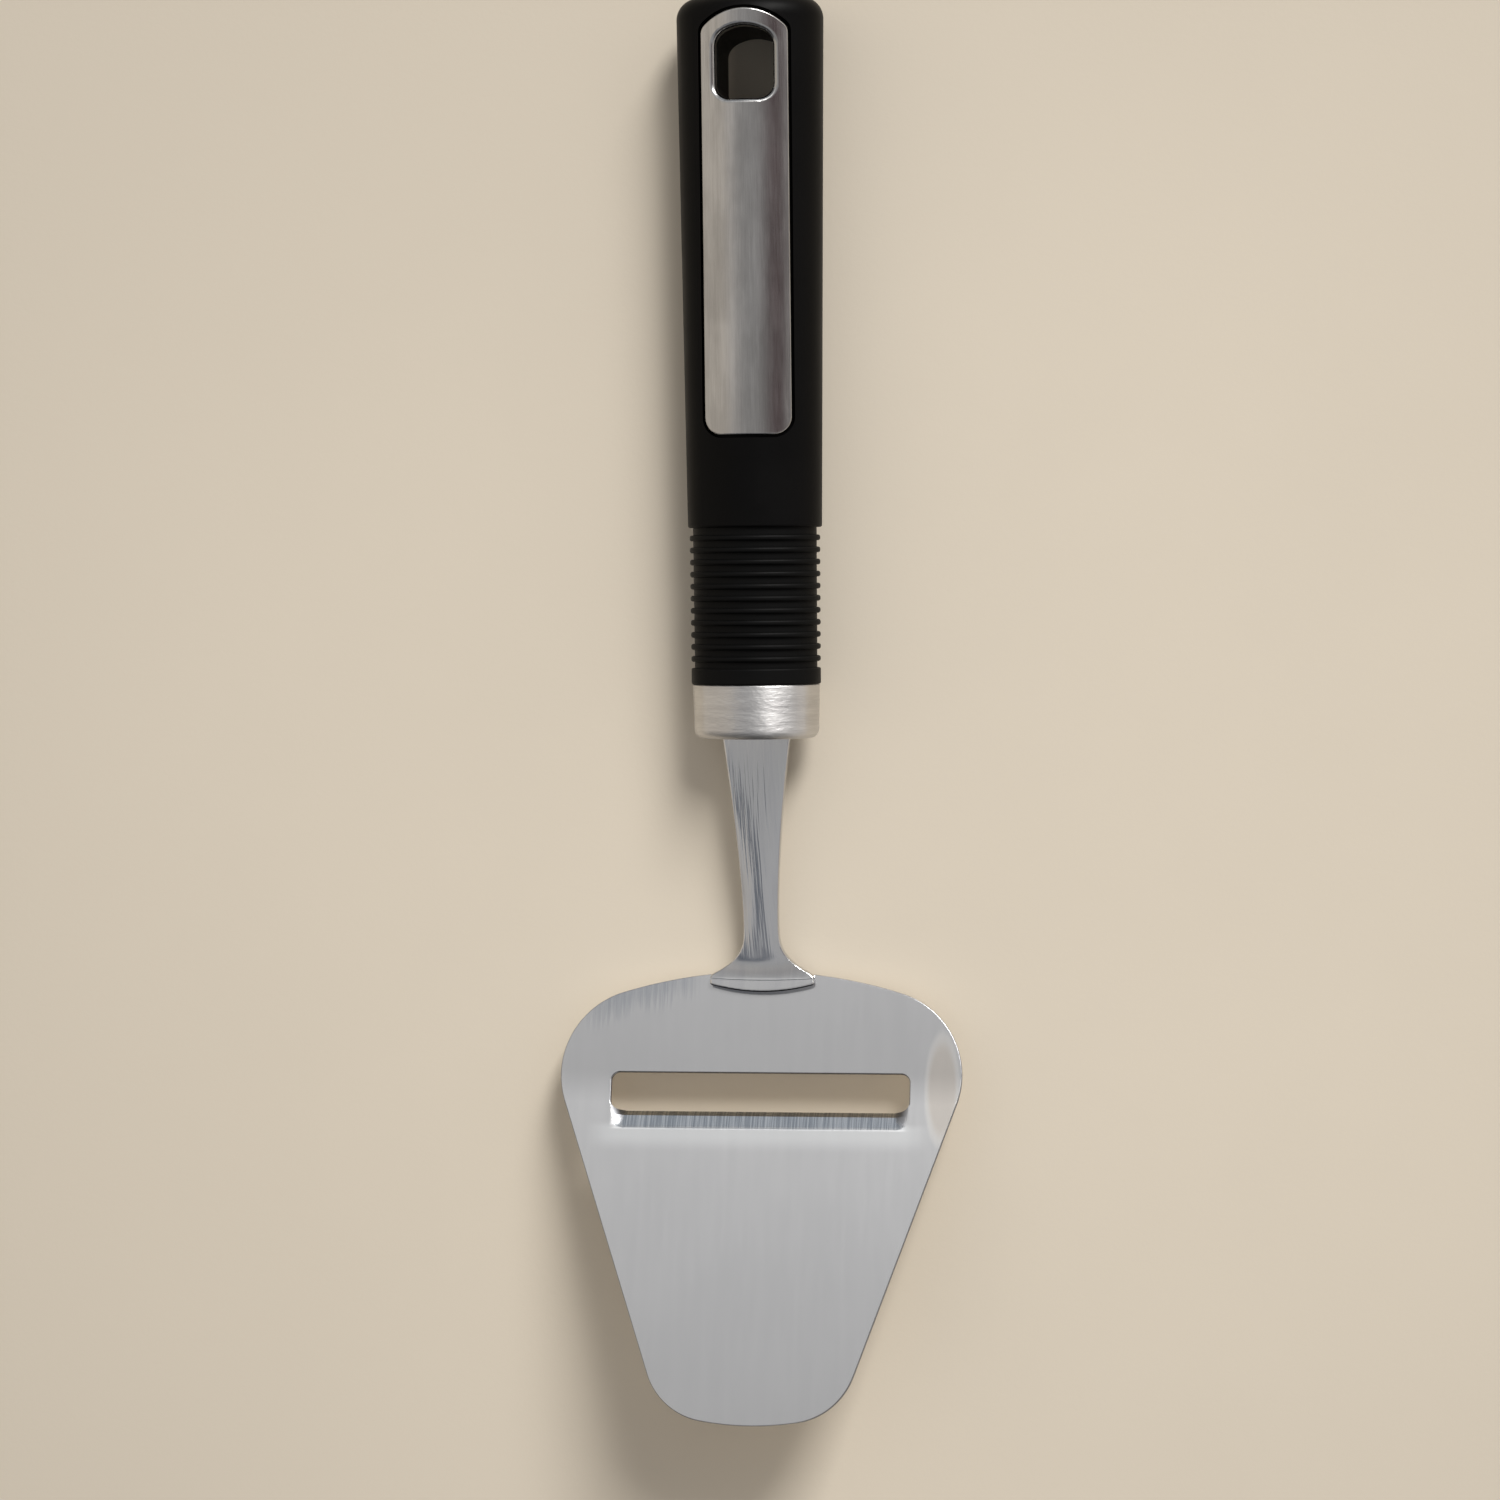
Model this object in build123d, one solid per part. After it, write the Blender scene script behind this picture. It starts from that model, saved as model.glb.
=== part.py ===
from build123d import *
import os
from math import asin, atan2, cos, hypot, pi, radians, sin, tan

# The slicer lies face up on its handle's flat back, blade towards -Y, hanging
# hole towards +Y. The origin is on that flat back, half way along the grip.
# All sizes are in millimetres and all angles in degrees.

# Grip, from the mouth of the ferrule to the butt
grip_length = 126.0
butt_width = 25.2
shoulder_width = 23.1
butt_depth = 19.2
shoulder_depth = 17.7
side_radius_share = 0.43
back_flat_sink = 0.5
butt_round = 3.5
shoulder_round = 0.4
shell_wall = 3.2

# Inlay plate in the top of the grip
plate_width = 14.8
plate_length = 71.5
plate_end_margin = 2.7
plate_thickness = 0.8
plate_arch_rise = 3.3
plate_high_corner = 1.8
plate_low_corner = 3.0
plate_edge_round = 0.25
plate_proud = 0.1
recess_gap = 0.5
pad_thickness = 0.4
pad_margin = 1.2
pad_corner = 1.0
hole_width = 9.9
hole_length = 12.2
hole_end_margin = 2.9
hole_arch_rise = 2.0
hole_high_corner = 2.8
hole_low_corner = 2.7
flange_depth = 2.4
flange_wall = 0.9
flange_gap = 0.12
flange_round = 0.75

# Ribbed grip sleeve
rib_count = 11
rib_pitch = 2.07
rib_thickness = 1.0
rib_round_share = 0.4
lead_groove = 1.27
band_length = 2.8
sleeve_width_back = 22.5
sleeve_width_front = 22.3
sleeve_depth_back = 17.1
sleeve_depth_front = 16.9
groove_depth = 0.6
sleeve_wall = 1.8
band_round = 0.3

# Ferrule
ferrule_length = 9.3
ferrule_width_back = 21.9
ferrule_width_front = 21.5
ferrule_depth_back = 16.5
ferrule_depth_front = 16.1
ferrule_wall = 0.8
ferrule_round = 1.5
ferrule_rim_round = 0.3
ferrule_slip = 0.05
shank_slot_gap = 0.25

# Core inside the grip
core_end_wall = 4.0
core_end_round = 1.5
core_groove_count = 3
core_groove_depth = 1.0
core_groove_width = 3.0
core_groove_pitch = 18.0
core_first_groove = 10.0

# Shank: visible neck, foot bent up onto the blade, and hidden tang
neck_run = 40.4
neck_drop = 4.96
neck_drop_power = 1.6
bend_length = 3.0
root_width = 11.7
neck_width = 6.15
bend_width = 14.0
neck_share = 0.8
taper_power = 1.6
flare_power = 3.4
flare_limit_power = 20
neck_section_count = 20
neck_section_power = 1.7
shank_thickness = 2.0
shank_edge_round = 0.35
root_crown = 0.12
neck_crown = 0.75
neck_crown_share = 0.7
foot_crown = 0.2
foot_width = 18.3
foot_thickness = 1.7
foot_side_reach = 2.75
foot_front_reach = 3.96
foot_corner = 0.5
crease_reach = 1.86
crease_side_reach = 1.4
crease_width = 0.3
crease_depth = 0.3
tang_width = 8.5
tang_length = 72.0
tang_end_round = 2.0
tang_notch_radius = 1.4
tang_notch_count = 4
tang_notch_pitch = 14.0
tang_first_notch = 14.0
root_block_length = 4.0
socket_gap = 0.4

# Blade
sheet_thickness = 0.9
heel_pitch = 17.4
toe_turn = 2.6
blade_width = 70.0
blade_length = 78.5
heel_setback = 0.63
heel_rise = 3.1
shoulder_radius = 15.0
tip_width = 31.0
tip_rise = 2.5
tip_corner = 12.0
sheet_edge_round = 0.18
slot_from_heel = 17.9
slot_height = 10.0
slot_width = 52.0
slot_corner = 1.5
slot_edge_round = 0.2
web_bend_length = 5.0
lip_width = 46.8
fade_shares = (0, 0.15, 0.3, 0.45, 0.6, 0.75, 0.88, 1)
lip_angle = 22.0
lip_bend_radius = 1.0
lip_flat = 2.0
edge_gap = 0.05
bevel_angle = 30.0
edge_land = 0.06

# One overrun serves every cut that has to pass clean through something. One
# small limit tells a flat edge from one that runs along the grip, and the other
# tells a face that looks up from the sheet's sides and underside.
overrun = 2.0
flat_limit = 0.001
rim_limit = 0.5

# Stations along the grip
butt_y = grip_length / 2
mouth_y = -grip_length / 2
ferrule_back_y = mouth_y + ferrule_length
rib_gap = rib_pitch - rib_thickness
sleeve_length = lead_groove + rib_count * rib_pitch + band_length
shoulder_y = ferrule_back_y + sleeve_length
plate_high_y = butt_y - plate_end_margin
plate_low_y = plate_high_y - plate_length
hole_high_y = plate_high_y - hole_end_margin
hole_low_y = hole_high_y - hole_length
core_end_y = hole_low_y - core_end_wall
recess_depth = plate_thickness + pad_thickness - plate_proud

# Heights: the ribs' bottoms and the shell's flat back lie in one plane
grip_axis_z = sleeve_depth_front / 2
bend_start_share = 1 - bend_length / 2 / neck_run
bend_end_share = 1 + bend_length / 2 / neck_run
bend_start_drop = neck_drop * bend_start_share**neck_drop_power
neck_slope = neck_drop_power * bend_start_drop / (bend_start_share * neck_run)
bend_y = mouth_y - neck_run
bend_z = grip_axis_z - shank_thickness / 2 - bend_start_drop - neck_slope * bend_length / 2

# The blade's heel lies in this plane, on the foot's underside in front of the bend
heel_plane = Plane(
    origin=(0, bend_y, bend_z),
    x_dir=(1, 0, 0),
    z_dir=(0, sin(radians(heel_pitch)), cos(radians(heel_pitch))),
)
side_plane = Plane(origin=heel_plane.origin, x_dir=heel_plane.y_dir, z_dir=(1, 0, 0))
foot_height = foot_thickness / cos(radians(heel_pitch))


def station(y, z):
    """Plane across the grip, looking along the handle, with local y upwards."""
    return Plane(origin=(0, y, z), x_dir=(1, 0, 0), z_dir=(0, -1, 0))


def oval_face(width, depth, y, z, inset=0):
    """Oval of four tangent arcs; an inset makes the parallel oval inside it."""
    a = width / 2 - inset
    b = depth / 2 - inset
    r = side_radius_share * depth - inset
    big = ((a - r) ** 2 + b**2 - r**2) / (2 * (b - r))
    tx = (a - r) * (1 + r / (big - r))
    tz = (big - b) * r / (big - r)
    arcs = [
        ThreePointArc((-tx, tz), (0, b), (tx, tz)),
        ThreePointArc((tx, tz), (a, 0), (tx, -tz)),
        ThreePointArc((tx, -tz), (0, -b), (-tx, -tz)),
        ThreePointArc((-tx, -tz), (-a, 0), (-tx, tz)),
    ]
    return station(y, z) * make_face(Curve() + arcs)


def between(low, high, share):
    """Value at a share of the way from low to high."""
    return low + (high - low) * share


def grip_form(y_from, y_to, inset=0):
    """Tapering oval body of the smooth grip, or a parallel body inside it."""
    faces = []
    for y in (y_from, y_to):
        share = (y - shoulder_y) / (butt_y - shoulder_y)
        width = between(shoulder_width, butt_width, share)
        depth = between(shoulder_depth, butt_depth, share)
        faces.append(oval_face(width, depth, y, depth / 2 - back_flat_sink, inset))
    return loft(faces, ruled=True)


def sleeve_form(y_from, y_to, inset=0):
    """Tapering oval body that the ribs' crests lie on."""
    faces = []
    for y in (y_from, y_to):
        share = (y - ferrule_back_y) / sleeve_length
        width = between(sleeve_width_front, sleeve_width_back, share)
        depth = between(sleeve_depth_front, sleeve_depth_back, share)
        faces.append(oval_face(width, depth, y, depth / 2, inset))
    return loft(faces, ruled=True)


def ferrule_form(y_from, y_to, inset=0):
    """Tapering oval body of the ferrule's outside."""
    faces = []
    for y in (y_from, y_to):
        share = (y - mouth_y) / ferrule_length
        width = between(ferrule_width_front, ferrule_width_back, share)
        depth = between(ferrule_depth_front, ferrule_depth_back, share)
        faces.append(oval_face(width, depth, y, grip_axis_z, inset))
    return loft(faces, ruled=True)


def arched_face(width, low_y, high_y, rise, low_corner, high_corner):
    """Upright outline seen from above, with an arched end towards the butt."""
    half = width / 2
    spring_y = high_y - rise
    lines = Polyline((-half, spring_y), (-half, low_y), (half, low_y), (half, spring_y))
    arch = ThreePointArc((half, spring_y), (0, high_y), (-half, spring_y))
    face = make_face(Curve() + [lines, arch])
    face = fillet(face.vertices().sort_by(Axis.Y)[:2], low_corner)
    return fillet(face.vertices().sort_by(Axis.Y)[-2:], high_corner)


def plate_outline(margin=0):
    """Outline of the inlay plate, grown by a margin."""
    return arched_face(
        plate_width + 2 * margin,
        plate_low_y - margin,
        plate_high_y + margin,
        plate_arch_rise,
        plate_low_corner + margin,
        plate_high_corner + margin,
    )


def hole_outline(margin=0):
    """Outline of the hanging hole, grown by a margin."""
    return arched_face(
        hole_width + 2 * margin,
        hole_low_y - margin,
        hole_high_y + margin,
        hole_arch_rise,
        hole_low_corner + margin,
        hole_high_corner + margin,
    )


def column(face):
    """Upright prism on an outline, from below the back to above the grip."""
    return Pos(0, 0, -overrun) * extrude(face, amount=butt_depth + 2 * overrun)


def top_layer(face, from_inset, to_inset):
    """Layer parallel to the grip's top, inside an outline seen from above."""
    low_y = plate_low_y - overrun
    high_y = butt_y + overrun
    outer = grip_form(low_y, high_y, from_inset)
    inner = grip_form(low_y, high_y, to_inset)
    upper = Pos(0, 0, grip_axis_z) * extrude(face, amount=butt_depth)
    return (outer - inner) & upper


def edges_at(solid, y):
    """Edges of a solid that lie wholly in one plane across the grip."""
    flat = solid.edges().filter_by(lambda edge: edge.bounding_box().size.Y < flat_limit)
    return flat.filter_by_position(Axis.Y, y - flat_limit, y + flat_limit)


def highest_face(solid):
    """Curved face whose middle lies highest."""
    curved = solid.faces().filter_by(GeomType.BSPLINE)
    large = curved.sort_by(SortBy.AREA)[-2:]
    return large.sort_by(lambda face: face.center().Z)[-1]


def make_inlay_plate():
    """Thin crowned plate with a flange turned down into the hanging hole."""
    outline = plate_outline()
    under_sheet = grip_form(plate_low_y - overrun, butt_y + overrun, plate_thickness - plate_proud)
    plate = top_layer(outline, -plate_proud, flange_depth)
    plate -= under_sheet & column(outline - hole_outline(flange_wall))
    plate -= column(hole_outline())
    plate = fillet(highest_face(plate).inner_wires()[0].edges(), flange_round)
    return fillet(highest_face(plate).outer_wire().edges(), plate_edge_round)


def make_inlay_adhesive():
    """Pressure-sensitive pad that fills the recess under the plate."""
    outline = arched_face(
        plate_width - 2 * pad_margin,
        plate_low_y + pad_margin,
        plate_high_y - pad_margin,
        plate_arch_rise,
        pad_corner,
        pad_corner,
    )
    pad = top_layer(outline, plate_thickness - plate_proud, recess_depth)
    return pad - column(hole_outline(flange_wall + pad_margin))


def make_core():
    """Hard inner core: keyed body, spigots for sleeve and ferrule, tang socket."""
    body = grip_form(shoulder_y, core_end_y, shell_wall)
    body = fillet(edges_at(body, core_end_y), core_end_round)
    for number in range(core_groove_count):
        low_y = shoulder_y + core_first_groove + number * core_groove_pitch
        high_y = low_y + core_groove_width
        ring = grip_form(low_y, high_y, 0) - grip_form(low_y, high_y, shell_wall + core_groove_depth)
        body -= ring
    core = body + sleeve_form(ferrule_back_y, shoulder_y, groove_depth + sleeve_wall)
    core += make_ferrule_spigot()
    return core - make_socket()


def make_ferrule_spigot():
    """Front end of the core, a close fit inside the ferrule."""
    inset = ferrule_wall + ferrule_slip
    front_y = mouth_y + inset
    spigot = ferrule_form(front_y, ferrule_back_y, inset)
    return fillet(edges_at(spigot, front_y), ferrule_round - ferrule_wall)


def slab(width, height, y_from, y_to, z):
    """Block centred on the middle plane, between two stations along the grip."""
    size_y = y_to - y_from
    return Pos(0, (y_from + y_to) / 2, z) * Box(width, size_y, height)


def make_socket():
    """Space in the core for the tang, its root block and the resin round them."""
    gap = 2 * socket_gap
    front_y = mouth_y + ferrule_wall + ferrule_slip
    block_y = mouth_y + root_block_length + socket_gap
    tang_y = mouth_y + tang_length + socket_gap
    height = shank_thickness + gap
    block = slab(root_width + gap, height, front_y, block_y, grip_axis_z)
    return block + slab(tang_width + gap, height, front_y, tang_y, grip_axis_z)


def make_shell(core):
    """Smooth outer moulding with the plate's recess and the hanging hole."""
    shell = grip_form(shoulder_y, butt_y)
    shell = fillet(edges_at(shell, butt_y), butt_round)
    shell = fillet(edges_at(shell, shoulder_y), shoulder_round)
    shell = split(shell, bisect_by=Plane.XY, keep=Keep.TOP)
    shell -= top_layer(plate_outline(recess_gap), -overrun, recess_depth)
    shell -= top_layer(hole_outline(flange_wall + flange_gap), -overrun, flange_depth + flange_gap)
    shell -= column(hole_outline())
    return shell - core


def make_sleeve(core):
    """Soft ribbed sleeve between the shell and the ferrule."""
    sleeve = sleeve_form(ferrule_back_y, shoulder_y, groove_depth)
    band_y = ferrule_back_y + band_length
    band = sleeve_form(ferrule_back_y, band_y)
    band = fillet(edges_at(band, ferrule_back_y) + edges_at(band, band_y), band_round)
    sleeve += band
    for number in range(rib_count):
        low_y = band_y + rib_gap + number * rib_pitch
        high_y = low_y + rib_thickness
        rib = sleeve_form(low_y, high_y)
        ends = edges_at(rib, low_y) + edges_at(rib, high_y)
        sleeve += fillet(ends, rib_round_share * rib_thickness)
    return sleeve - core


def make_ferrule():
    """Drawn cap with a rounded front edge and a slot for the shank."""
    ferrule = ferrule_form(mouth_y, ferrule_back_y)
    ferrule = fillet(edges_at(ferrule, mouth_y), ferrule_round)
    ferrule = fillet(edges_at(ferrule, ferrule_back_y), ferrule_rim_round)
    floor_y = mouth_y + ferrule_wall
    hollow = ferrule_form(floor_y, ferrule_back_y + overrun, ferrule_wall)
    hollow = fillet(edges_at(hollow, floor_y), ferrule_round - ferrule_wall)
    gap = 2 * shank_slot_gap
    slot = slab(
        root_width + gap,
        shank_thickness + gap,
        mouth_y - overrun,
        floor_y + overrun,
        grip_axis_z,
    )
    return ferrule - hollow - slot


def shank_width(share):
    """Width of the shank at a share of the way from the ferrule to the bend."""
    taper = max(0, 1 - share / neck_share) ** taper_power
    flare = max(0, (share - neck_share) / (1 - neck_share)) ** flare_power
    width = neck_width + (root_width - neck_width) * taper + (bend_width - neck_width) * flare
    over = (width / foot_width) ** flare_limit_power
    return width / (1 + over) ** (1 / flare_limit_power)


def shank_crown(share):
    """Height of the shank's crowned top over its edges, at the same share."""
    if share < neck_crown_share:
        swell = (1 - cos(pi * share / neck_crown_share)) / 2
        return between(root_crown, neck_crown, swell)
    fall = (share - neck_crown_share) / (bend_end_share - neck_crown_share)
    return between(foot_crown, neck_crown, (1 + cos(pi * fall)) / 2)


def shank_underside(share):
    """Height of the underside: steeper and steeper down, then round the bend."""
    if share < bend_start_share:
        return grip_axis_z - shank_thickness / 2 - neck_drop * share**neck_drop_power
    past_start = (share - bend_start_share) * neck_run
    past_bend = past_start - bend_length / 2
    turn = neck_slope + tan(radians(heel_pitch))
    rounding = turn * past_start**2 / (2 * bend_length)
    return bend_z - neck_slope * past_bend + rounding


def shank_section(share):
    """Section of the shank: flat underside, crowned top, softened upper edges."""
    half = shank_width(share) / 2
    crown = shank_crown(share)
    edge = between(shank_thickness, foot_height, share / bend_end_share) - crown
    sides = Polyline((-half, edge), (-half, 0), (half, 0), (half, edge))
    top = ThreePointArc((half, edge), (0, edge + crown), (-half, edge))
    face = make_face(Curve() + [sides, top])
    face = fillet(face.vertices().sort_by(Axis.Y)[-2:], shank_edge_round)
    return station(mouth_y - share * neck_run, shank_underside(share)) * face


def make_shank():
    """One stamped strip: tang, root block, crowned neck and foot."""
    steps = [number / neck_section_count for number in range(neck_section_count + 1)]
    shares = [bend_end_share * (1 - (1 - step) ** neck_section_power) for step in steps]
    neck = loft([shank_section(share) for share in shares])
    root = extrude(shank_section(0), amount=-root_block_length)
    tang_thickness = shank_thickness - root_crown
    tang_z = grip_axis_z - root_crown / 2
    tang = slab(tang_width, tang_thickness, mouth_y, mouth_y + tang_length, tang_z)
    tang_end = tang.edges().filter_by(Axis.Z).sort_by(Axis.Y)[-2:]
    tang = fillet(tang_end, tang_end_round)
    notch = Cylinder(tang_notch_radius, shank_thickness + 2 * overrun)
    for number in range(tang_notch_count):
        y = mouth_y + tang_first_notch + number * tang_notch_pitch
        for side in (-1, 1):
            tang -= Pos(side * tang_width / 2, y, tang_z) * notch
    return neck + root + tang + make_foot()


def foot_outline():
    """Outline of the foot seen from above, from the end of the bend to its arched front."""
    half = shank_width(bend_end_share) / 2
    rear = -bend_length / 2
    sides = Polyline((-half, -foot_side_reach), (-half, rear), (half, rear), (half, -foot_side_reach))
    front = ThreePointArc((half, -foot_side_reach), (0, -foot_front_reach), (-half, -foot_side_reach))
    face = make_face(Curve() + [sides, front])
    return Pos(0, bend_y, 0) * fillet(face.vertices().sort_by(Axis.Y)[:2], foot_corner)


def crease_outline():
    """Arched band seen from above, where the foot's front is pressed off its rear."""
    half = foot_width / 2 + overrun
    rear = ThreePointArc((half, -crease_side_reach), (0, -crease_reach), (-half, -crease_side_reach))
    front = Pos(0, -crease_width) * rear
    ends = [Line(rear @ 0, front @ 0), Line(rear @ 1, front @ 1)]
    return Pos(0, bend_y, 0) * make_face(Curve() + [rear, front] + ends)


def make_foot():
    """Foot that runs on from the bend, lies on the blade's heel and has one crease."""
    end_half = shank_width(bend_end_share) / 2
    half = end_half + overrun
    radius = (end_half**2 + foot_crown**2) / (2 * foot_crown)
    edge = foot_height - radius + (radius**2 - half**2) ** 0.5
    sides = Polyline((-half, edge), (-half, 0), (half, 0), (half, edge))
    top = ThreePointArc((half, edge), (0, foot_height), (-half, edge))
    start = station(bend_y - bend_length / 2, shank_underside(bend_end_share))
    profile = start * make_face(Curve() + [sides, top])
    strip = extrude(profile, amount=foot_front_reach + overrun, dir=-heel_plane.y_dir)
    foot = strip & column(foot_outline())
    crown = foot.faces().sort_by(Axis.Z)[-1]
    rims = crown.edges().filter_by(lambda rim: rim.center().Y < start.origin.Y - flat_limit)
    foot = fillet(rims, shank_edge_round)
    return foot - (column(crease_outline()) - Pos(0, 0, -crease_depth) * strip)


def blade_outline():
    """Flat outline of the blade: arched heel, round shoulders, tapering sides."""
    r = shoulder_radius
    sx = blade_width / 2 - r
    sy = -heel_setback - heel_rise - r
    heel_radius = (sx**2 + 2 * r * heel_rise + heel_rise**2) / (2 * heel_rise)
    hy = -heel_setback - heel_radius
    span = hypot(sx, sy - hy)
    up = (sx / span, (sy - hy) / span)
    tip_y = -heel_setback - blade_length
    corner = (tip_width / 2, tip_y + tip_rise)
    reach = hypot(sx - corner[0], sy - corner[1])
    lean = atan2(sx - corner[0], sy - corner[1]) + asin(r / reach)
    out = (cos(lean), -sin(lean))
    middle = Vector(up[0] + out[0], up[1] + out[1]).normalized()
    heel_end = (sx + r * up[0], sy + r * up[1])
    shoulder = (sx + r * middle.X, sy + r * middle.Y)
    side_start = (sx + r * out[0], sy + r * out[1])
    half = [
        ThreePointArc(heel_end, shoulder, side_start),
        Line(side_start, corner),
    ]
    heel = ThreePointArc((-heel_end[0], heel_end[1]), (0, -heel_setback), heel_end)
    tip = ThreePointArc(corner, (0, tip_y), (-corner[0], corner[1]))
    other_half = [mirror(line, about=Plane.YZ) for line in half]
    face = make_face(Curve() + [heel] + half + [tip] + other_half)
    return fillet(face.vertices().sort_by(Axis.Y)[:2], tip_corner)


def along(start, angle, length):
    """Point at a length from a start, the angle measured down from local x."""
    return (start[0] + length * cos(angle), start[1] - length * sin(angle))


def make_blade():
    """Stamped sheet: heel, slotted bend, rising toe and pressed cutting lip."""
    turn = radians(toe_turn)
    slot_y = -heel_setback - slot_from_heel
    bend_radius = web_bend_length / turn
    centre = (slot_y, bend_radius)
    heel_start = (overrun - heel_setback, 0)
    bend_start = (slot_y, 0)
    bend_middle = (slot_y - bend_radius * sin(turn / 2), bend_radius * (1 - cos(turn / 2)))
    bend_end = (slot_y - bend_radius * sin(turn), bend_radius * (1 - cos(turn)))
    toe_end = along(bend_end, turn, -blade_length)
    outside = bend_radius + sheet_thickness
    low_middle = (centre[0] - outside * sin(turn / 2), centre[1] - outside * cos(turn / 2))
    low_end = (centre[0] - outside * sin(turn), centre[1] - outside * cos(turn))
    low_toe_end = along(low_end, turn, -blade_length)
    sheet = Curve() + [
        Line(heel_start, bend_start),
        ThreePointArc(bend_start, bend_middle, bend_end),
        Line(bend_end, toe_end),
        Line(toe_end, low_toe_end),
        Line(low_toe_end, low_end),
        ThreePointArc(low_end, low_middle, (slot_y, -sheet_thickness)),
        Line((slot_y, -sheet_thickness), (heel_start[0], -sheet_thickness)),
        Line((heel_start[0], -sheet_thickness), heel_start),
    ]
    blade = extrude(side_plane * make_face(sheet), amount=blade_width, both=True)
    blade &= extrude(heel_plane * blade_outline(), amount=blade_length, both=True)
    blade = fillet(top_rim(blade), sheet_edge_round)
    root = along(bend_end, turn, web_bend_length - slot_height)
    formed = formed_lip(root, turn)
    low_y = formed[4][0] + edge_gap
    opening = make_window(slot_y, low_y, slot_corner)
    outer_rim = top_rim(blade)
    blade -= opening
    slot_rim = [edge for edge in top_rim(blade) if edge not in outer_rim]
    blade = fillet(slot_rim, slot_edge_round)
    blade -= make_window(low_y + slot_corner, root[0], 0)
    free = free_lip(root, formed[-1], turn, low_y + slot_corner + edge_gap)
    return blade + (make_lip(formed, free) - opening)


def top_rim(blade):
    """Edges round the top of the sheet, on the heel, the web bend and the toe."""
    tops = [face for face in blade.faces() if face.normal_at().Z > rim_limit]
    rim = []
    for face in tops:
        for edge in face.edges():
            shared = [other for other in tops if edge in other.edges()]
            if len(shared) == 1:
                rim.append(edge)
    return rim


def make_window(high_y, low_y, corner):
    """Column over a window as wide as the slot, between two heights on the blade."""
    face = Pos(0, (high_y + low_y) / 2) * Rectangle(slot_width, high_y - low_y)
    if corner:
        face = fillet(face.vertices(), corner)
    return extrude(heel_plane * face, amount=blade_width, both=True)


def formed_lip(root, turn):
    """Corners of the lip's section where it is fully formed."""
    flat = turn + radians(lip_angle)
    ground = flat + radians(bevel_angle)
    outside = lip_bend_radius + sheet_thickness
    centre = (root[0] - outside * sin(turn), root[1] - outside * cos(turn))
    half_turn = (turn + flat) / 2
    top_end = (centre[0] + outside * sin(flat), centre[1] + outside * cos(flat))
    low_root = (centre[0] + lip_bend_radius * sin(turn), centre[1] + lip_bend_radius * cos(turn))
    bevel_start = along(top_end, flat, lip_flat)
    bevel_length = (sheet_thickness - edge_land) / sin(radians(bevel_angle))
    edge = along(bevel_start, ground, bevel_length)
    return [
        root,
        (centre[0] + outside * sin(half_turn), centre[1] + outside * cos(half_turn)),
        top_end,
        bevel_start,
        edge,
        (edge[0] - edge_land * sin(flat), edge[1] - edge_land * cos(flat)),
        (centre[0] + lip_bend_radius * sin(flat), centre[1] + lip_bend_radius * cos(flat)),
        (centre[0] + lip_bend_radius * sin(half_turn), centre[1] + lip_bend_radius * cos(half_turn)),
        low_root,
    ]


def free_lip(root, low_root, turn, edge_y):
    """The same corners where the lip is still plain sheet, and reaches further."""
    curl = (lip_bend_radius + sheet_thickness) * radians(lip_angle)
    reach = (edge_y - root[0]) / cos(turn)
    return [
        root,
        along(root, turn, curl / 2),
        along(root, turn, curl),
        along(root, turn, curl + lip_flat),
        along(root, turn, reach),
        along(low_root, turn, reach),
        along(low_root, turn, curl),
        along(low_root, turn, curl / 2),
        low_root,
    ]


def lip_section(formed, free, share, x):
    """Section of the lip at a share of its fade into the sheet, at a place along the slot."""
    points = [
        (between(lip[0], sheet[0], share), between(lip[1], sheet[1], share))
        for lip, sheet in zip(formed, free)
    ]
    root, top_middle, top_end, bevel_start, edge, under_edge, low_end, low_middle, low_root = points
    profile = Wire([
        Spline(root, top_middle, top_end),
        Line(top_end, bevel_start),
        Line(bevel_start, edge),
        Line(edge, under_edge),
        Line(under_edge, low_end),
        Spline(low_end, low_middle, low_root),
        Line(low_root, root),
    ])
    return Pos(x, 0, 0) * (side_plane * Face(profile))


def make_lip(formed, free):
    """Cutting lip, bent down from the slot's toe side, its ends faded into the sheet."""
    half = lip_width / 2
    lip = extrude(lip_section(formed, free, 0, -half), amount=lip_width, dir=(1, 0, 0))
    shares = [(1 - cos(pi * share)) / 2 for share in fade_shares]
    places = [between(half, slot_width / 2, share) for share in fade_shares]
    end = loft([lip_section(formed, free, *spot) for spot in zip(shares, places)])
    return lip + end + mirror(end, about=Plane.YZ)


def make_tang_adhesive(shank):
    """Resin that fills the socket round the tang and its notches."""
    return make_socket() - shank


shank = make_shank()
core = make_core()
parts = {
    "blade": make_blade(),
    "shank": shank,
    "ferrule": make_ferrule(),
    "handle_core": core,
    "handle_shell": make_shell(core + make_socket()),
    "ribbed_sleeve": make_sleeve(core + make_socket()),
    "inlay_plate": make_inlay_plate(),
    "inlay_adhesive": make_inlay_adhesive(),
    "tang_adhesive": make_tang_adhesive(shank),
}

os.makedirs("parts", exist_ok=True)
for name, solid in parts.items():
    export_step(solid, f"parts/{name}.step")
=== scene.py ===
from math import cos, pi, radians, sin, tan

import bpy
from mathutils import Matrix, Vector


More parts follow.
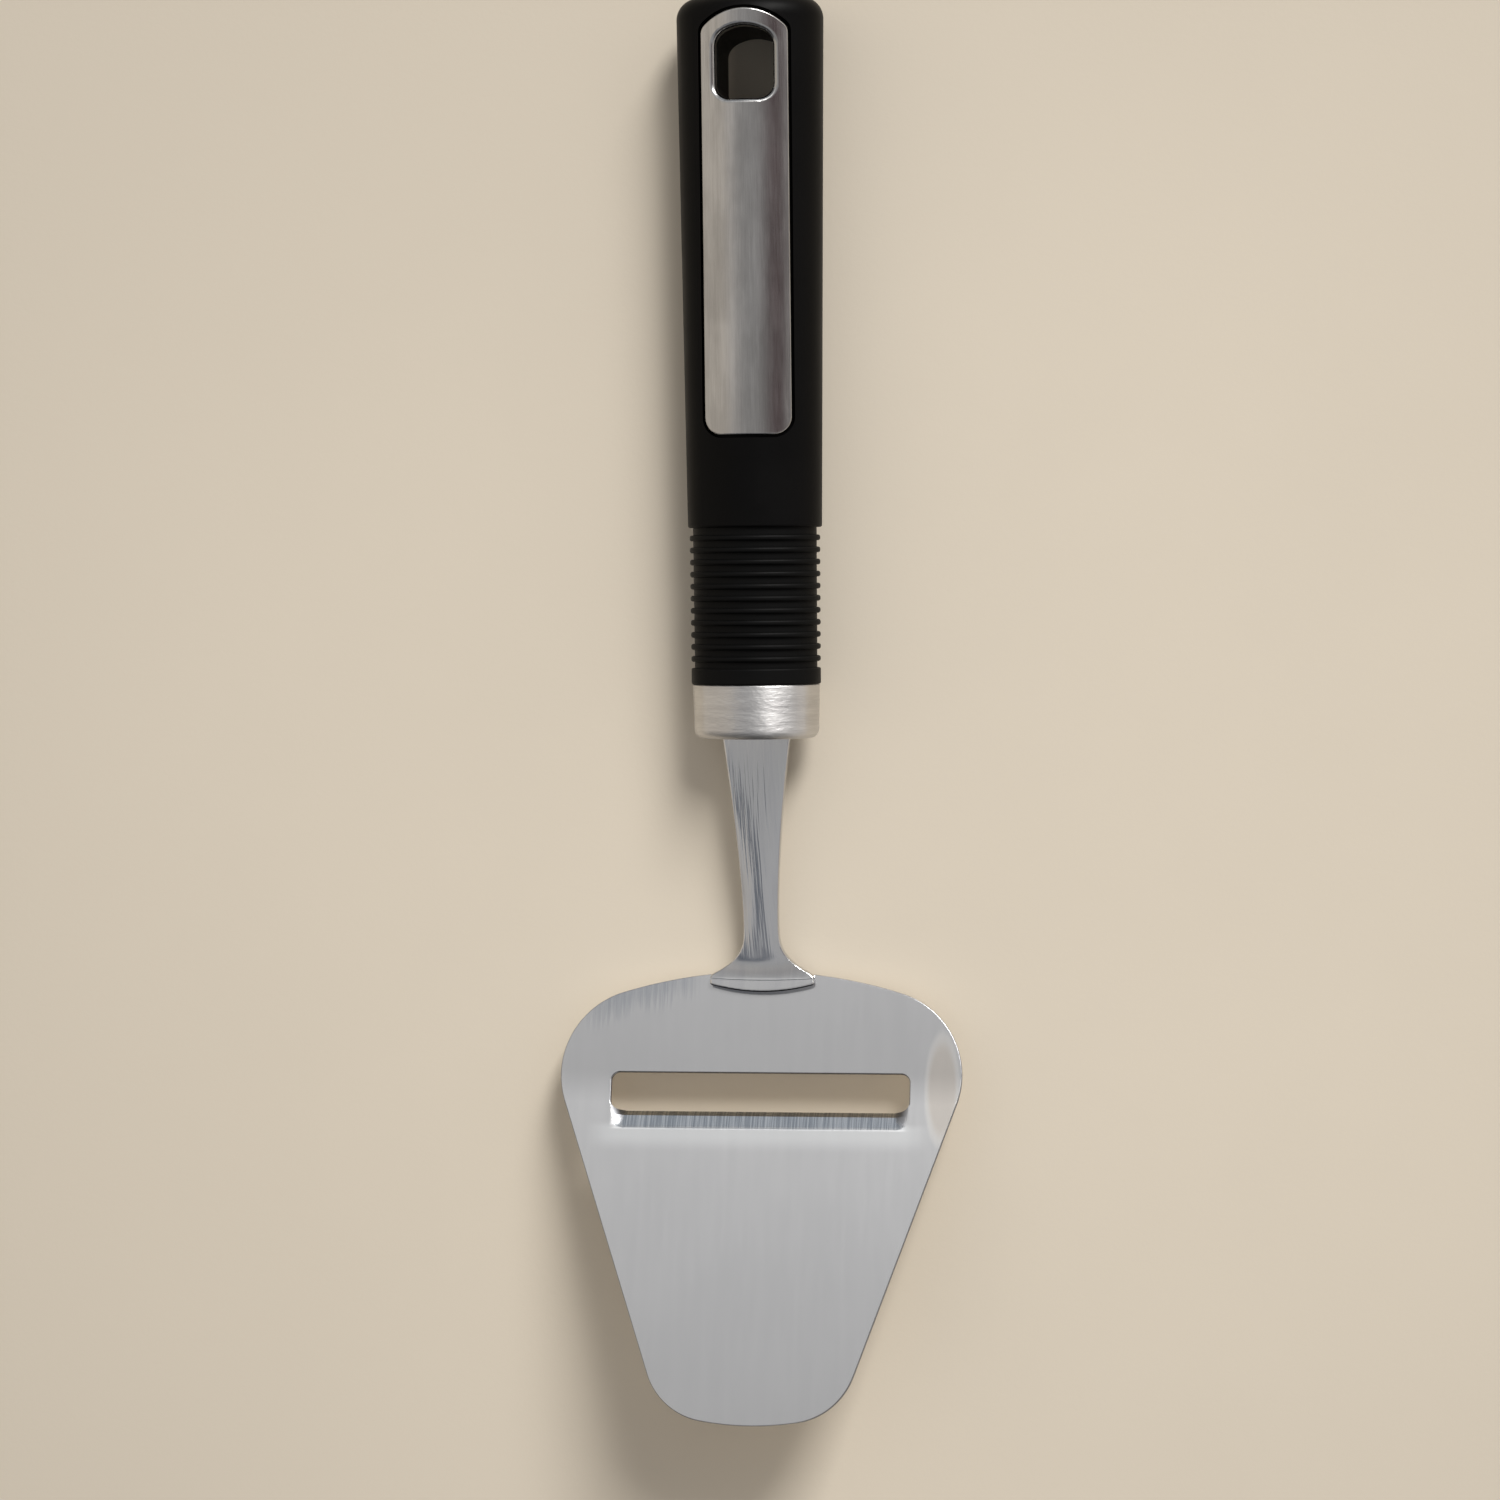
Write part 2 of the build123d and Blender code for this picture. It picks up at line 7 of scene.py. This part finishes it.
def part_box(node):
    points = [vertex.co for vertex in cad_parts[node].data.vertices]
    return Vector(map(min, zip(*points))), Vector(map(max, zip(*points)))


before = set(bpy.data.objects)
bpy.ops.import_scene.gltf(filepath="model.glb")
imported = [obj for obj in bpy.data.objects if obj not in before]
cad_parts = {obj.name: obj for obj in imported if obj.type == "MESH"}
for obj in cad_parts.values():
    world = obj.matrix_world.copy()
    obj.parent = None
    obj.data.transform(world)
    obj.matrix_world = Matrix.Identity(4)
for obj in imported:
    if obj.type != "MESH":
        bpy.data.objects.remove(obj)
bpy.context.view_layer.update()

# Everything is in metres, in the frame of the CAD model: +Y is the butt of the
# handle, -Y the tip of the blade, +Z up from the table.
MM = 0.001


def mm(*values):
    return tuple(value * MM for value in values)


# Camera: the photograph looks almost straight down, from a little to the right
camera_place = Vector(mm(84.0, -32.0, 656.5))
camera_aim = Vector(mm(-1.2, -65.1, 8.45))
camera_roll = radians(-0.52)
camera_lens = 91.2
camera_sensor = 36.0

# Key light: a tall softbox beyond the butt, to the right, placed by the two
# angles at which it stands over the handle, across it and along it
key_across = radians(29.5)
key_along = radians(47.5)
key_distance = 4.0
key_width = 1.1
key_height = 2.1
key_power = 165.0
key_colour = (1.0, 0.985, 0.965)

# Room: brightness by direction, seen only in reflections and as fill. The stops
# give it along the slicer, in degrees from straight up toward the butt.
room_stops = [
    (-80, (0.02, 0.02, 0.02)),
    (-46, (0.04, 0.04, 0.04)),
    (-35, (0.36, 0.36, 0.38)),
    (-27, (0.60, 0.60, 0.61)),
    (-12, (0.52, 0.52, 0.52)),
    (-2, (0.52, 0.51, 0.50)),
    (12, (0.46, 0.45, 0.45)),
    (24, (0.52, 0.52, 0.52)),
    (31, (0.74, 0.74, 0.74)),
    (40, (1.05, 1.05, 1.05)),
    (52, (0.50, 0.50, 0.51)),
    (64, (0.36, 0.38, 0.40)),
    (78, (0.54, 0.57, 0.61)),
]
# Soft ellipses laid over it: centre and reach in degrees across and along the
# slicer, lean in degrees, softness of the edge as a share, colour
room_patches = [
    ((-8, 50), (34, 12), 0, 0.4, (0.2, 0.21, 0.23, 1)),
    ((46, 38), (13, 24), 0, 0.6, (2.3, 2.3, 2.25, 1)),
    ((17, 27), (11, 10), 0, 0.5, (0.14, 0.14, 0.15, 1)),
    ((-38, 6), (20, 13), 0, 0.8, (1.0, 0.94, 0.88, 1)),
    ((-20, -19.5), (24, 4.5), -35, 0.35, (0.09, 0.11, 0.15, 1)),
    ((34, 4), (19, 15), 0, 0.6, (0.10, 0.055, 0.06, 1)),
]
# Sides of the room, by the slope of the direction, each fading in over a span
left_side = (-1.4, -1.9)
left_side_colour = (0.14, 0.14, 0.14, 1)
right_side = (1.15, 1.5)
right_side_colour = (0.56, 0.53, 0.50, 1)
# Pale screens low on both sides, by the direction itself
screen_y = 0.08
left_screen = (-0.48, -0.56)
left_screen_reach = (0.55, 0.3)
left_screen_colour = (0.80, 0.73, 0.64, 1)
right_screen = (0.86, 0.93)
right_screen_reach = (0.35, 0.2)
right_screen_colour = (0.95, 0.90, 0.85, 1)
horizon_height = 0.05
backdrop_colour = (0.66, 0.59, 0.475, 1)

# Table: painted light on its paint: lightest by the slicer, a painted falloff to duller far from
# it, and a painted patch of light under the slot
table_span = 6.0
table_drop = 0.02 * MM
table_rgb = (0.635, 0.568, 0.468)
table_centre = mm(30, -90, 0)
table_fade = mm(40, 260)
table_far_shade_share = 0.84
table_cloud_share = 0.965
slot_light_share = 1.18
under_slot_place = mm(-1.5, -126)
under_slot_x = mm(34, 24)
under_slot_y = mm(11, 5)

# Marks on the blade, most of them painted light: a highlight, reflections and shade.
# Each span goes from where the mark is absent to where it is full: a place, a depth
# below the heel's edge or a lean of the surface.
upward = (0.0, 0.2)
lip_lean = (0.38, 0.5)
lip_y = mm(-124, -126)
lip_colours = ((0.36, 0.385, 0.415, 1), (0.68, 0.69, 0.70, 1))
# Painted highlight: a lighter band along the bend at the lip's root
crest_highlight_low_y = mm(-134.5, -131.5)
crest_highlight_high_y = mm(-129, -130.5)
crest_highlight_x = mm(31, 25)
crest_highlight_colour = (0.645, 0.65, 0.655, 1)
# Painted dark reflection, streaked, in a band under the heel's edge
heel_y = -104 * MM
heel_arch = 150 * MM
heel_depth = mm(5, 0)
heel_depth_limit = mm(6, 3)
heel_left_x = mm(-34, -26)
heel_right_x = mm(-9, -15)
heel_share = 0.7
heel_reflection_colour = (0.385, 0.40, 0.425, 1)
# Painted reflection: a pale oval with a lighter rim at the blade's right edge
reflection_oval_place = mm(31.6, -123.6)
reflection_oval_size = mm(2.9, 9.2)
reflection_oval_inside = (1.05, 0.75)
reflection_oval_share = 0.8
reflection_oval_colour = (0.58, 0.535, 0.485, 1)
reflection_rim_in = (0.65, 0.95)
reflection_rim_out = (0.95, 1.15)
reflection_rim_share = 0.6
reflection_rim_colour = (0.68, 0.665, 0.645, 1)
# Painted shade: a dark line along the slot's upper edge, on the rounding that leans toward the tip
slot_edge_shade_lean = (-0.12, -0.3)
slot_edge_shade_y = mm(-124, -123)
slot_edge_shade_colour = (0.08, 0.08, 0.09, 1)
# Edges that face sideways: rougher, as sheared steel, and darker, a painted shade for their dark
# outline
side_lean = (0.1, 0.3)
side_edge_shade_colour = (0.26, 0.265, 0.28, 1)
side_roughness = 0.22
satin_colours = ((0.528, 0.529, 0.534, 1), (0.54, 0.54, 0.545, 1))
scatter_colour = (0.9, 0.9, 0.9, 1)

# Marks on the shank's foot: ragged strokes in its bump, and a painted shade, black, on its rounded
# front edge
ragged_y = mm(-102.2, -98.5)
foot_front_shade_lean = (-0.2, -0.4)
foot_front_shade_y = mm(-103, -104)
foot_front_shade_colour = (0.06, 0.06, 0.065, 1)

# Brushed steel that is common to its pieces
hair_depth = 0.002 * MM
blade_hair_depth = 0.0006 * MM
band_width_share = 9
band_length_share = 180
bend_shift = 0.37
hair_share = 0.55
band_share = 0.45
smear_colour = (0.12, 0.115, 0.11, 1)
smooth_angle = radians(28)


class Tree:
    """Small helper that adds and links shader nodes."""

    def __init__(self, owner):
        owner.use_nodes = True
        self.nodes = owner.node_tree.nodes
        self.links = owner.node_tree.links
        self.nodes.clear()

    def add(self, kind, inputs=None, **settings):
        node = self.nodes.new(kind)
        for name, value in settings.items():
            setattr(node, name, value)
        for socket, value in (inputs or {}).items():
            self.put(node.inputs[socket], value)
        return node

    def put(self, socket, value):
        if isinstance(value, bpy.types.NodeSocket):
            self.links.new(value, socket)
        else:
            socket.default_value = value

    def math(self, operation, *values, clamp=False):
        node = self.add("ShaderNodeMath", operation=operation, use_clamp=clamp)
        for socket, value in zip(node.inputs, values):
            self.put(socket, value)
        return node.outputs[0]

    def times(self, first, *others):
        for other in others:
            first = self.math("MULTIPLY", first, other)
        return first

    def plus(self, first, second):
        return self.math("ADD", first, second)

    def minus(self, first, second):
        return self.math("SUBTRACT", first, second)

    def size(self, value):
        return self.math("ABSOLUTE", value)

    def distance(self, first, second=(0, 0, 0)):
        node = self.add("ShaderNodeVectorMath", {0: first, 1: second}, operation="DISTANCE")
        return node.outputs["Value"]

    def split(self, vector):
        node = self.add("ShaderNodeSeparateXYZ", {0: vector})
        return node.outputs[0], node.outputs[1], node.outputs[2]

    def combine(self, x, y, z):
        return self.add("ShaderNodeCombineXYZ", {0: x, 1: y, 2: z}).outputs[0]

    def noise(self, vector, scale, detail=3.0, roughness=0.6):
        inputs = {"Vector": vector, "Scale": scale, "Detail": detail, "Roughness": roughness}
        return self.add("ShaderNodeTexNoise", inputs).outputs["Fac"]

    def marks(self, across, along, width, length, layer, detail=3.0, roughness=0.6):
        """Noise drawn out along the steel, by the rough width and length of its marks."""
        spot = self.combine(self.times(across, 1 / width), self.times(along, 1 / length), layer)
        return self.noise(spot, 1.0, detail, roughness)

    def blend(self, share, first, second):
        node = self.add("ShaderNodeMix", data_type="RGBA")
        self.put(node.inputs["Factor"], share)
        self.put(node.inputs["A"], first)
        self.put(node.inputs["B"], second)
        return node.outputs["Result"]

    def remap(self, value, low, high, new_low, new_high):
        inputs = {
            "Value": value,
            "From Min": low,
            "From Max": high,
            "To Min": new_low,
            "To Max": new_high,
        }
        node = self.add("ShaderNodeMapRange", interpolation_type="SMOOTHSTEP")
        for name, item in inputs.items():
            self.put(node.inputs[name], item)
        return node.outputs["Result"]

    def fade(self, value, span, full=1):
        """Mask that is 0 where the value is at the start of the span and full at its end."""
        return self.remap(value, span[0], span[1], 0, full)


def surface(name):
    """New material: its tree, its principled shader and its object coordinates."""
    material = bpy.data.materials.new(name)
    tree = Tree(material)
    shader = tree.add("ShaderNodeBsdfPrincipled")
    output = tree.add("ShaderNodeOutputMaterial")
    tree.links.new(shader.outputs[0], output.inputs["Surface"])
    place = tree.add("ShaderNodeTexCoord").outputs["Object"]
    return material, tree, shader, place


def bump(tree, shader, height, distance):
    node = tree.add("ShaderNodeBump", {"Strength": 1.0, "Distance": distance, "Height": height})
    tree.links.new(node.outputs[0], shader.inputs["Normal"])


def lean(tree):
    """The three parts of the surface's own normal."""
    return tree.split(tree.add("ShaderNodeNewGeometry").outputs["True Normal"])


def plainer_below(tree, shader, lean_z):
    """Takes a little of the metal look from faces that lie on the table."""
    tree.put(shader.inputs["Metallic"], tree.remap(lean_z, -0.9, -0.6, 0.7, 1.0))


def brushed_steel(name, colour, dark_colour, roughness, spread, streak, run=60,
                  around=False, pull=0.6, mottle=0.0, ragged=0.0, smeared=0.0):
    """Steel brushed along the slicer, or round it for the ferrule."""
    material, tree, shader, place = surface(name)
    x, y, z = tree.split(place)
    if around:
        along = tree.times(tree.math("ARCTAN2", x, tree.minus(z, ferrule_axis_z)), ferrule_radius)
        across = y
        side = (0.0, 1.0, 0.0)
    else:
        along = y
        across = tree.plus(x, tree.times(z, bend_shift))
        side = (1.0, 0.0, 0.0)
    fine = tree.marks(across, along, streak, streak * run, 0.0, detail=4.0, roughness=0.75)
    broad = tree.marks(across, along, streak * band_width_share, streak * band_length_share, 0.5)
    cloud = tree.noise(place, 55.0)
    mix = tree.plus(tree.times(fine, hair_share), tree.times(broad, band_share))
    lean_x, lean_y, lean_z = lean(tree)
    shown = tree.blend(tree.fade(mix, (0.36, 0.64)), dark_colour, colour)
    # Painted shade: black on the foot's rounded front edge
    if ragged:
        front_shade = tree.times(tree.fade(lean_y, foot_front_shade_lean), tree.fade(lean_z, upward))
        front_shade = tree.times(front_shade, tree.fade(y, foot_front_shade_y))
        shown = tree.blend(front_shade, shown, foot_front_shade_colour)
    if smeared:
        smear = tree.marks(across, along, 6 * MM, 16 * MM, 0.4)
        shown = tree.blend(tree.fade(smear, (0.38, 0.66), smeared), shown, smear_colour)
    tree.put(shader.inputs["Base Color"], shown)
    rough = tree.plus(tree.remap(mix, 0.3, 0.7, -spread, spread), roughness)
    rough = tree.plus(rough, tree.remap(cloud, 0.3, 0.7, -spread / 2, spread / 2))
    tree.put(shader.inputs["Roughness"], rough)
    plainer_below(tree, shader, lean_z)
    shader.inputs["Anisotropic"].default_value = pull
    tree.put(shader.inputs["Tangent"], tree.combine(*side))
    height = tree.times(fine, hair_depth / MM)
    if mottle:
        dents = tree.marks(across, along, 0.7 * MM, 2.6 * MM, 0.9, detail=2.0)
        height = tree.plus(height, tree.times(dents, mottle / MM))
    if ragged:
        strokes = tree.marks(across, along, 0.5 * MM, 14 * MM, 0.2, detail=1.0)
        height = tree.plus(height, tree.times(strokes, tree.fade(y, ragged_y, ragged / MM)))
    bump(tree, shader, height, MM)
    return material


def heel_dark_reflection(tree, x, y, stroke):
    """Mask of the painted dark reflection, streaked, under the heel's edge, left of the foot."""
    edge = tree.plus(y, tree.times(x, x, 1 / heel_arch))
    depth = tree.minus(heel_y, edge)
    mask = tree.fade(depth, heel_depth, heel_share)
    mask = tree.plus(mask, tree.remap(stroke, 0.35, 0.65, -0.3, 0.3))
    mask = tree.math("MULTIPLY", mask, tree.fade(depth, heel_depth_limit), clamp=True)
    return tree.times(mask, tree.fade(x, heel_right_x), tree.fade(x, heel_left_x))


def add_painted_reflection(tree, x, y, colour):
    """Painted reflection: a pale oval with a lighter rim at the blade's right edge."""
    ring = tree.combine(
        tree.math("DIVIDE", tree.minus(x, reflection_oval_place[0]), reflection_oval_size[0]),
        tree.math("DIVIDE", tree.minus(y, reflection_oval_place[1]), reflection_oval_size[1]),
        0.0,
    )
    reach = tree.distance(ring)
    colour = tree.blend(tree.fade(reach, reflection_oval_inside, reflection_oval_share), colour, reflection_oval_colour)
    risen = tree.fade(reach, reflection_rim_in, reflection_rim_share)
    rim = tree.minus(risen, tree.fade(reach, reflection_rim_out, reflection_rim_share))
    return tree.blend(rim, colour, reflection_rim_colour)


def scatter_bounce(material, tree, shader):
    """Lets light that the steel passes on to the table spread softly, as off a rough back."""
    path = tree.add("ShaderNodeLightPath")
    spread = tree.add("ShaderNodeBsdfDiffuse", {"Color": scatter_colour})
    inputs = {0: path.outputs["Is Diffuse Ray"], 1: shader.outputs[0], 2: spread.outputs[0]}
    chosen = tree.add("ShaderNodeMixShader", inputs)
    output = material.node_tree.nodes["Material Output"]
    tree.links.new(chosen.outputs[0], output.inputs["Surface"])


def blade_steel():
    """The blade's steel: satin, with streaks on the lip, a painted highlight by the lip's bend,
    painted reflections under the heel's edge and in an oval at the right edge, and painted shade on
    the slot's upper edge and the side edges.
    """
    material, tree, shader, place = surface("blade_brushed")
    x, y, z = tree.split(place)
    lean_x, lean_y, lean_z = lean(tree)
    fine = tree.marks(x, y, 0.09 * MM, 5.4 * MM, 0.0, detail=4.0, roughness=0.75)
    stroke = tree.marks(x, y, 0.5 * MM, 12 * MM, 0.3, roughness=0.7)
    score = tree.marks(x, y, 0.28 * MM, 12 * MM, 0.8, roughness=0.7)
    broad = tree.marks(x, y, 0.8 * MM, 16 * MM, 0.6)
    cloud = tree.noise(place, 55.0)
    mix = tree.plus(tree.times(fine, hair_share), tree.times(broad, band_share))
    colour = tree.blend(tree.fade(mix, (0.36, 0.64)), *satin_colours)
    # Painted highlight along the bend at the lip's root
    crest_highlight = tree.times(tree.fade(y, crest_highlight_low_y), tree.fade(y, crest_highlight_high_y))
    crest_highlight = tree.times(crest_highlight, tree.fade(tree.size(x), crest_highlight_x))
    colour = tree.blend(crest_highlight, colour, crest_highlight_colour)
    on_lip = tree.times(tree.fade(lean_y, lip_lean), tree.fade(y, lip_y))
    colour = tree.blend(on_lip, colour, tree.blend(tree.fade(score, (0.36, 0.64)), *lip_colours))
    # Painted dark reflection under the heel's edge
    colour = tree.blend(heel_dark_reflection(tree, x, y, stroke), colour, heel_reflection_colour)
    # Painted pale reflection, an oval at the right edge
    colour = add_painted_reflection(tree, x, y, colour)
    # Painted shade along the slot's upper edge
    slot_edge_shade = tree.times(tree.fade(lean_y, slot_edge_shade_lean), tree.fade(lean_z, upward), tree.fade(y, slot_edge_shade_y))
    colour = tree.blend(slot_edge_shade, colour, slot_edge_shade_colour)
    # Side-facing edges: a painted shade in colour, and rougher
    side = tree.fade(tree.size(lean_x), side_lean)
    tree.put(shader.inputs["Base Color"], tree.blend(side, colour, side_edge_shade_colour))
    rough = tree.remap(mix, 0.3, 0.7, -0.01, 0.01)
    rough = tree.plus(rough, tree.remap(cloud, 0.3, 0.7, 0.195, 0.205))
    tree.put(shader.inputs["Roughness"], tree.plus(rough, tree.times(side, side_roughness)))
    plainer_below(tree, shader, lean_z)
    shader.inputs["Anisotropic"].default_value = 0.6
    tree.put(shader.inputs["Tangent"], tree.combine(1.0, 0.0, 0.0))
    bump(tree, shader, tree.times(fine, blade_hair_depth / MM), MM)
    scatter_bounce(material, tree, shader)
    return material


def moulded(name, rgb, roughness, spread, grain, depth, specular):
    """Moulded plastic or rubber: fine spark texture, faint clouds in its gloss."""
    material, tree, shader, place = surface(name)
    spark = tree.noise(place, 1 / grain, detail=2.0)
    cloud = tree.noise(place, 60.0, detail=4.0)
    lighter = tuple(channel * 1.5 for channel in rgb)
    shown = tree.blend(tree.fade(cloud, (0.3, 0.7)), (*rgb, 1), (*lighter, 1))
    tree.put(shader.inputs["Base Color"], shown)
    rough = tree.plus(tree.remap(cloud, 0.3, 0.7, -spread, spread), roughness)
    tree.put(shader.inputs["Roughness"], rough)
    shader.inputs["Specular IOR Level"].default_value = specular
    bump(tree, shader, spark, depth)
    return material


def table_shade(share):
    return (*(channel * share for channel in table_rgb), 1)


def table_material():
    """Plain painted table: faint clouds, a very fine tooth, a painted falloff of light away from
    the slicer and a painted patch of light under the slot.
    """
    material, tree, shader, place = surface("table_paint")
    x, y, z = tree.split(place)
    cloud = tree.noise(place, 7.0, detail=5.0)
    tooth = tree.noise(place, 900.0, detail=2.0)
    shown = tree.blend(tree.fade(cloud, (0.3, 0.7)), table_shade(1), table_shade(table_cloud_share))
    # Painted falloff of light: duller far from the slicer
    far_shade = tree.fade(tree.distance(place, table_centre), table_fade)
    shown = tree.blend(far_shade, shown, table_shade(table_far_shade_share))
    # Painted patch of light on the table under the slot, where light comes through it
    off_x = tree.size(tree.minus(x, under_slot_place[0]))
    off_y = tree.size(tree.minus(y, under_slot_place[1]))
    slot_light = tree.times(tree.fade(off_x, under_slot_x), tree.fade(off_y, under_slot_y))
    shown = tree.blend(slot_light, shown, table_shade(slot_light_share))
    tree.put(shader.inputs["Base Color"], shown)
    shader.inputs["Roughness"].default_value = 0.75
    shader.inputs["Specular IOR Level"].default_value = 0.2
    bump(tree, shader, tooth, 0.02 * MM)
    return material


def dress(node, material):
    """Gives a CAD node's object one material, and shades it smoothly with its edges left sharp."""
    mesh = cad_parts[node].data
    mesh.materials.clear()
    mesh.materials.append(material)
    mesh.shade_smooth()
    mesh.set_sharp_from_angle(angle=smooth_angle)


def make_camera():
    data = bpy.data.cameras.new("camera")
    data.lens = camera_lens
    data.sensor_width = camera_sensor
    camera = bpy.data.objects.new("camera", data)
    back = (camera_place - camera_aim).normalized()
    right = Vector((0, 1, 0)).cross(back).normalized()
    turn = Matrix((right, back.cross(right), back)).transposed().to_4x4()
    roll = Matrix.Rotation(camera_roll, 4, "Z")
    camera.matrix_world = Matrix.Translation(camera_place) @ turn @ roll
    bpy.context.scene.collection.objects.link(camera)
    bpy.context.scene.camera = camera


def make_key():
    data = bpy.data.lights.new("key", "AREA")
    data.shape = "RECTANGLE"
    data.size = key_width
    data.size_y = key_height
    data.energy = key_power
    data.color = key_colour
    light = bpy.data.objects.new("key", data)
    direction = Vector((tan(key_across), tan(key_along), 1)).normalized()
    turn = direction.to_track_quat("Z", "Y").to_matrix().to_4x4()
    light.matrix_world = Matrix.Translation(direction * key_distance) @ turn
    bpy.context.scene.collection.objects.link(light)


def sky_patch(tree, u, v, centre, reach, lean_degrees, edge):
    """Mask of a soft ellipse in the room: 1 inside it."""
    du = tree.minus(u, tan(radians(centre[0])))
    dv = tree.minus(v, tan(radians(centre[1])))
    level, rise = cos(radians(lean_degrees)), sin(radians(lean_degrees))
    far = tree.plus(tree.times(du, level), tree.times(dv, rise))
    side = tree.minus(tree.times(dv, level), tree.times(du, rise))
    far = tree.math("DIVIDE", far, tan(radians(reach[0])))
    side = tree.math("DIVIDE", side, tan(radians(reach[1])))
    return tree.fade(tree.distance(tree.combine(far, side, 0.0)), (1 + edge, 1 - edge))


def make_room():
    """World: even overhead, brighter over the butt, with darker and lighter patches."""
    world = bpy.data.worlds.new("room")
    bpy.context.scene.world = world
    tree = Tree(world)
    x, y, z = tree.split(tree.add("ShaderNodeTexCoord").outputs["Generated"])
    height = tree.math("MAXIMUM", z, horizon_height)
    u = tree.math("DIVIDE", x, height)
    v = tree.math("DIVIDE", y, height)
    ramp = tree.add("ShaderNodeValToRGB")
    half_turns = tree.times(tree.math("ARCTANGENT", v), 1 / pi)
    tree.put(ramp.inputs[0], tree.plus(half_turns, 0.5))
    points = ramp.color_ramp.elements
    while len(points) < len(room_stops):
        points.new(0.5)
    for point, (degrees, rgb) in zip(points, room_stops):
        point.position = degrees / 180 + 0.5
        point.color = (*rgb, 1)
    shown = ramp.outputs["Color"]
    for *place, colour in room_patches:
        shown = tree.blend(sky_patch(tree, u, v, *place), shown, colour)
    shown = tree.blend(tree.fade(u, left_side), shown, left_side_colour)
    shown = tree.blend(tree.fade(u, right_side), shown, right_side_colour)
    off = tree.size(tree.minus(y, screen_y))
    left = tree.times(tree.fade(x, left_screen), tree.fade(off, left_screen_reach))
    shown = tree.blend(left, shown, left_screen_colour)
    right = tree.times(tree.fade(x, right_screen), tree.fade(off, right_screen_reach))
    shown = tree.blend(right, shown, right_screen_colour)
    path = tree.add("ShaderNodeLightPath")
    lit = tree.add("ShaderNodeBackground", {"Color": shown, "Strength": 1.0})
    seen = tree.add("ShaderNodeBackground", {"Color": backdrop_colour, "Strength": 1.0})
    inputs = {0: path.outputs["Is Camera Ray"], 1: lit.outputs[0], 2: seen.outputs[0]}
    chosen = tree.add("ShaderNodeMixShader", inputs)
    output = tree.add("ShaderNodeOutputWorld")
    tree.links.new(chosen.outputs[0], output.inputs["Surface"])


def make_table():
    mesh = bpy.data.meshes.new("table")
    half = table_span / 2
    corners = [(-half, -half, 0), (half, -half, 0), (half, half, 0), (-half, half, 0)]
    mesh.from_pydata(corners, [], [(0, 1, 2, 3)])
    table = bpy.data.objects.new("table", mesh)
    table.location.z = -table_drop
    mesh.materials.append(table_material())
    bpy.context.scene.collection.objects.link(table)


low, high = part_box("ferrule")
ferrule_axis_z = (low.z + high.z) / 2
ferrule_radius = (high.x - low.x) / 2

dress("blade", blade_steel())
dress("shank", brushed_steel(
    "shank_brushed", (0.56, 0.56, 0.56, 1), (0.52, 0.52, 0.53, 1),
    roughness=0.17, spread=0.02, streak=0.16 * MM, run=45, ragged=0.09 * MM,
))
dress("inlay_plate", brushed_steel(
    "inlay_brushed", (0.47, 0.465, 0.46, 1), (0.38, 0.375, 0.37, 1),
    roughness=0.22, spread=0.03, streak=0.14 * MM, smeared=0.24,
))
dress("ferrule", brushed_steel(
    "ferrule_brushed", (0.66, 0.65, 0.64, 1), (0.52, 0.51, 0.505, 1),
    roughness=0.40, spread=0.04, streak=0.1 * MM, around=True, pull=0.72, mottle=0.09 * MM,
))
dress("handle_shell", moulded(
    "shell_plastic", (0.0012, 0.0011, 0.0011),
    roughness=0.45, spread=0.04, grain=0.16 * MM, depth=0.006 * MM, specular=0.075,
))
dress("ribbed_sleeve", moulded(
    "sleeve_rubber", (0.0014, 0.0014, 0.0014),
    roughness=0.5, spread=0.05, grain=0.2 * MM, depth=0.004 * MM, specular=0.09,
))
dress("handle_core", moulded(
    "core_plastic", (0.006, 0.006, 0.006),
    roughness=0.5, spread=0.04, grain=0.3 * MM, depth=0.01 * MM, specular=0.15,
))
dress("inlay_adhesive", moulded(
    "pad_foam", (0.5, 0.5, 0.46),
    roughness=0.7, spread=0.04, grain=0.3 * MM, depth=0.02 * MM, specular=0.3,
))
dress("tang_adhesive", moulded(
    "cured_resin", (0.3, 0.18, 0.05),
    roughness=0.3, spread=0.05, grain=0.5 * MM, depth=0.01 * MM, specular=0.5,
))

make_camera()
make_key()
make_room()
make_table()
bpy.context.scene.view_settings.view_transform = "Standard"
